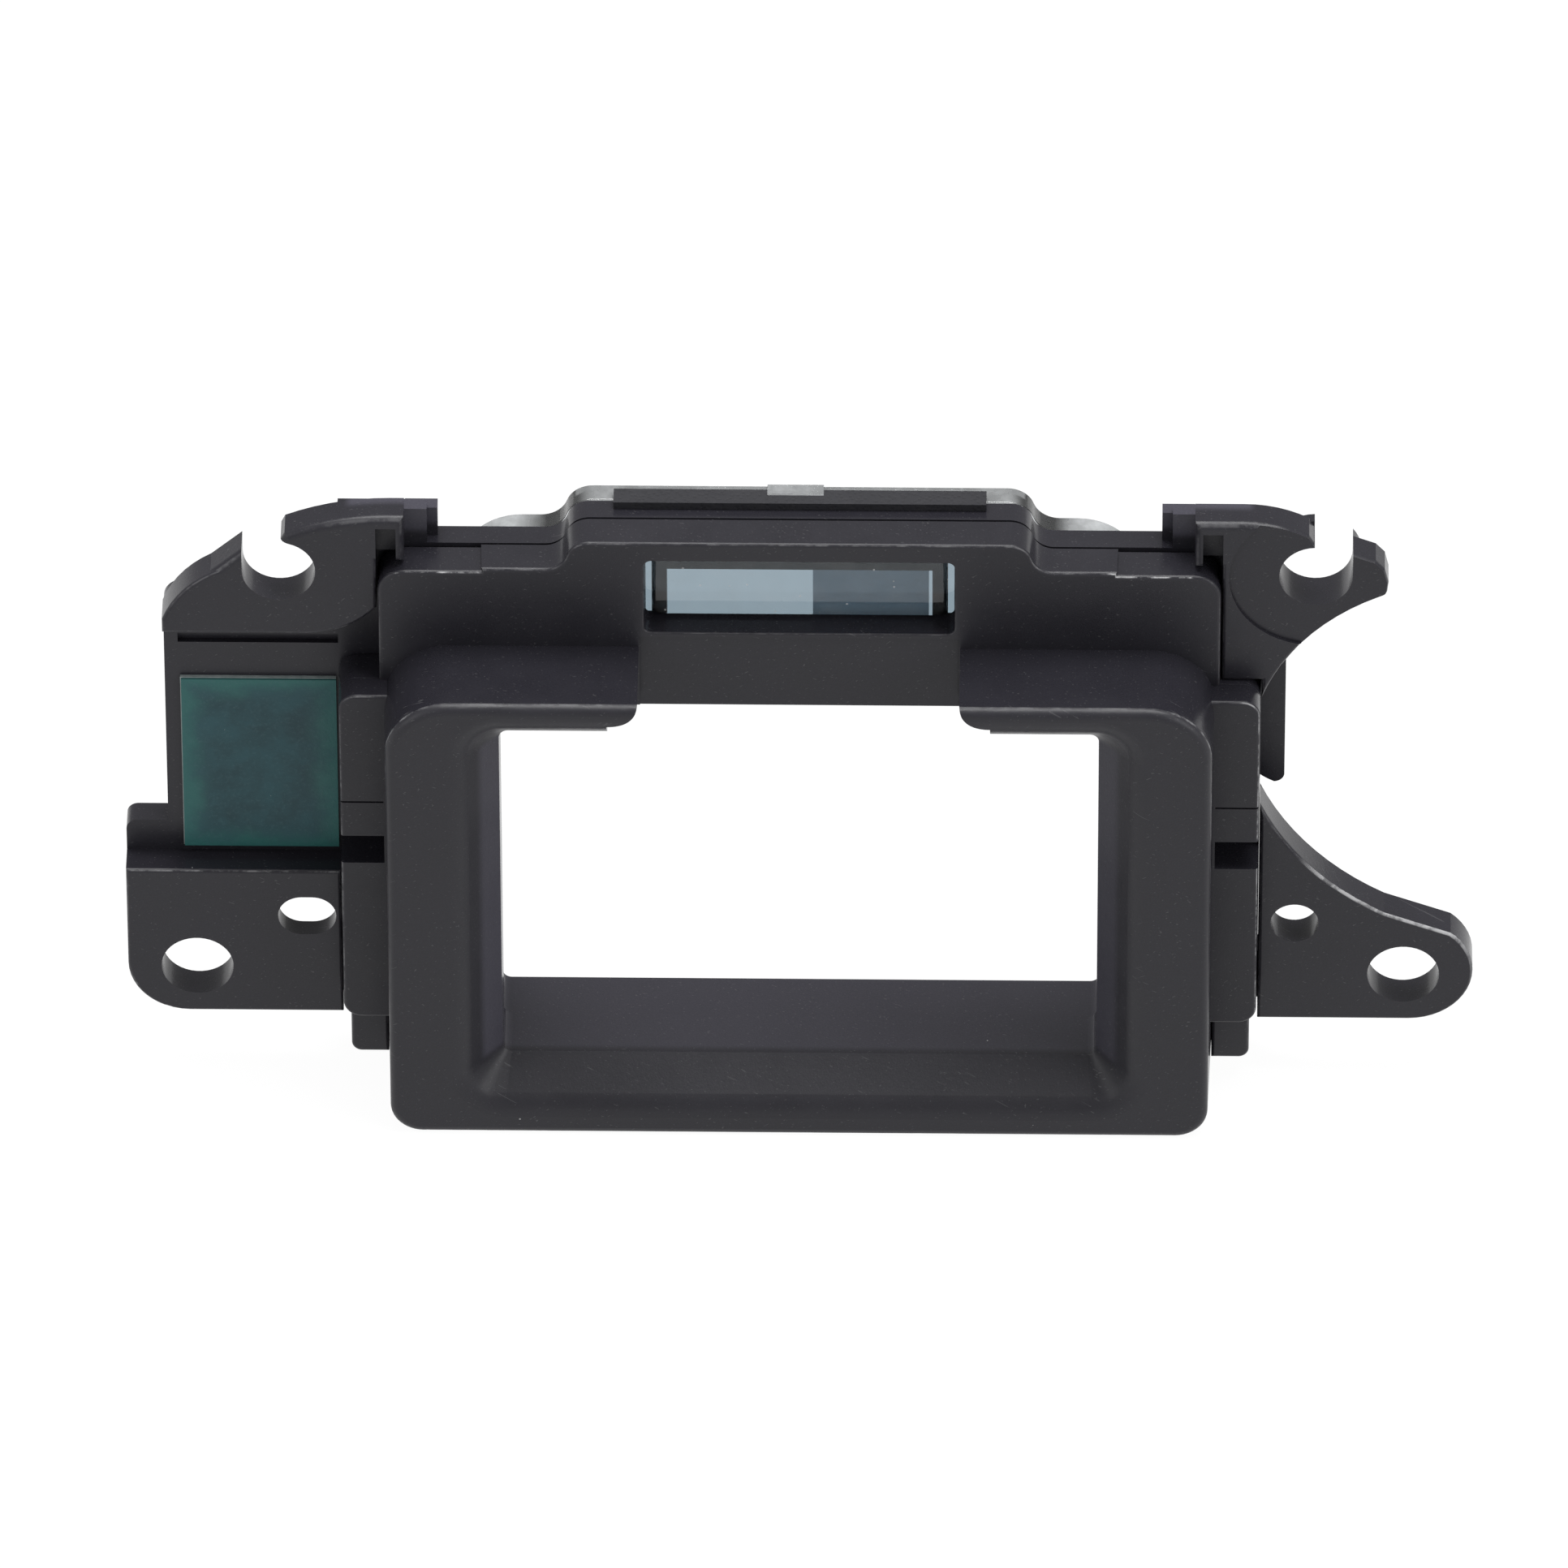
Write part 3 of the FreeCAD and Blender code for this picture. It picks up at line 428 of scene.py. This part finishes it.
EAR_TAB = ((-17.0, 1.5, 25.9), (-13.7, 2.7, 27.4))
CLEAR_SHOULDER = ((-14.0, 2.0, 22.0), (-11.0, 3.6, 26.0))
CLEAR_CORNER = ((-7.9, 2.4, 26.3), (-7.1, 3.6, 27.0))
CLEAR_REAR_EDGE = ((-8.5, 3.2, 26.2), (8.5, 3.6, 26.45))
CLEAR_GATE = ((-1.5, 2.8, 26.47), (1.2, 3.6, 27.0))

# Boxes with how strong the wear and painted highlight are there; the right rail edge has more, as painted
# light from the right.
bezel_wear_and_highlights = [
    (EVERYWHERE, 0.12),
    (SHOULDER_EDGE, 0.9),
    (mirrored(SHOULDER_EDGE), 0.9),
    (CROWN_EDGE, 0.18),
    (LEFT_RAIL_EDGE, 0.3),
    (RIGHT_RAIL_EDGE, 0.6),
    (RING_TOP_LEFT, 0.35),
    (RING_TOP_RIGHT, 0.35),
]
frame_wear_and_highlights = [
    (EVERYWHERE, 0.12),
    (LEFT_EAR_STEP, 0.35),
    (RIGHT_HOOK_TOP, 0.5),
    (LEFT_HOOK_FOOT, 0.5),
]
# Boxes with how many times paler than the level the surface is painted there, as painted light: the left
# wall of the mouth more than the right, as lit from the right, its floor as lit from above, the ear tabs
# as lit through from behind.
throat_grain_and_painted_light = [
    (THROAT_LEFT, 3.1),
    (mirrored(THROAT_LEFT), 2.5),
    (THROAT_FLOOR, 2.3),
]
ear_tab_grain_and_painted_light = [
    (EAR_TAB, 3.2),
    (mirrored(EAR_TAB), 3.2),
]
# Boxes with the fade outside them and how strong the pale hazy layer of the clear plastic is there:
# partly milkiness, partly painted reflection of the bright surroundings.
milky_and_reflection = [
    (CLEAR_SHOULDER, 1.6, 0.9),
    (mirrored(CLEAR_SHOULDER), 1.6, 0.9),
    (CLEAR_CORNER, 0.8, 0.55),
    (mirrored(CLEAR_CORNER), 0.8, 0.55),
    (CLEAR_REAR_EDGE, 0.15, 0.45),
    (CLEAR_GATE, 0.05, 0.6),
]


def dress(node, material):
    """Give a CAD node its material."""
    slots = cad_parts[node].data.materials
    for index in range(len(slots)):
        slots[index] = material


foam_black = foam("foam_black", level=0.016)
glue = adhesive("adhesive_edge")
bezel_black = plastic("bezel_black", level=0.013, roughness=0.40, grain=0.006, worn_and_highlit=bezel_wear_and_highlights,
                      spared=[FUNNEL], grained_and_painted_light=throat_grain_and_painted_light)
frame_black = plastic("frame_black", level=0.0135, roughness=0.36, grain=0.005, worn_and_highlit=frame_wear_and_highlights,
                      grained_and_painted_light=ear_tab_grain_and_painted_light, strips=[RIGHT_ARM])
dress("front_bezel", bezel_black)
dress("ear_frame", frame_black)
dress("rear_shell", clear_plastic("clear_shell", milky_and_reflection))
dress("rear_light_seal", foam_black)
dress("top_strip", foam_black)
dress("sensor_window", tinted_pane("tinted_pane"))
dress("window_tape", glue)
dress("light_block", shade_block("shade_block"))
dress("pad_film", teal_film("teal_film", "pad_film"))
dress("pad_adhesive", glue)


# ---------------------------------------------------------------- studio

def make_floor(radius, corners, glow):
    """A round pale floor that is mostly lit from inside, like a light table."""
    bpy.ops.mesh.primitive_circle_add(vertices=corners, radius=radius, fill_type="NGON")
    floor = bpy.context.object
    floor.name = "studio_floor"
    graph = Graph("floor_white")
    shader = graph.shader(Base_Color=grey(0.05), Roughness=0.9, Specular_IOR_Level=0.0,
                          Emission_Color=(1.0, 1.0, 1.0, 1.0), Emission_Strength=glow)
    floor.data.materials.append(graph.finish(shader))


def make_world(level):
    """An even white surrounding."""
    world = bpy.data.worlds.new("studio")
    world.use_nodes = True
    background = world.node_tree.nodes["Background"]
    background.inputs["Color"].default_value = (1.0, 1.0, 1.0, 1.0)
    background.inputs["Strength"].default_value = level
    bpy.context.scene.world = world


def make_softbox(name, place, aim, size, power):
    """A rectangular lamp that points at the aim."""
    data = bpy.data.lights.new(name, "AREA")
    data.shape = "RECTANGLE"
    data.size, data.size_y = size
    data.energy = power
    light = bpy.data.objects.new(name, data)
    light.location = place
    light.rotation_euler = (Vector(aim) - Vector(place)).to_track_quat("-Z", "Y").to_euler()
    bpy.context.scene.collection.objects.link(light)


def make_camera(target, azimuth, elevation, roll, distance, view_width):
    """A long lens that looks down on the part; azimuth moves it to the right."""
    data = bpy.data.cameras.new("camera")
    camera = bpy.data.objects.new("camera", data)
    away = Vector((math.sin(azimuth) * math.cos(elevation), -math.cos(azimuth) * math.cos(elevation),
                   math.sin(elevation)))
    camera.location = Vector(target) + away * distance
    turn = (-away).to_track_quat("-Z", "Y").to_matrix() @ Matrix.Rotation(roll, 3, "Z")
    camera.rotation_euler = turn.to_euler()
    data.sensor_width = 36.0
    data.lens = data.sensor_width * distance / view_width
    data.clip_start = 0.05
    data.clip_end = 20.0
    bpy.context.scene.collection.objects.link(camera)
    bpy.context.scene.camera = camera


part_middle = (0, 0, 0.012)
make_floor(radius=1.6, corners=96, glow=0.96)
make_world(level=0.55)
make_softbox("top_softbox", place=(0.05, 0.08, 0.75), aim=part_middle, size=(0.7, 0.3), power=8.3)
make_softbox("right_softbox", place=(0.65, -0.35, 0.35), aim=part_middle, size=(0.4, 0.4), power=2.2)
make_softbox("left_softbox", place=(-0.65, -0.35, 0.35), aim=part_middle, size=(0.4, 0.4), power=1.2)
make_camera(target=(-0.0006, 0.0, 0.01456), azimuth=math.radians(0.9), elevation=math.radians(40.0),
            roll=math.radians(-0.16), distance=0.88, view_width=0.0601)
bpy.context.scene.view_settings.view_transform = "Standard"
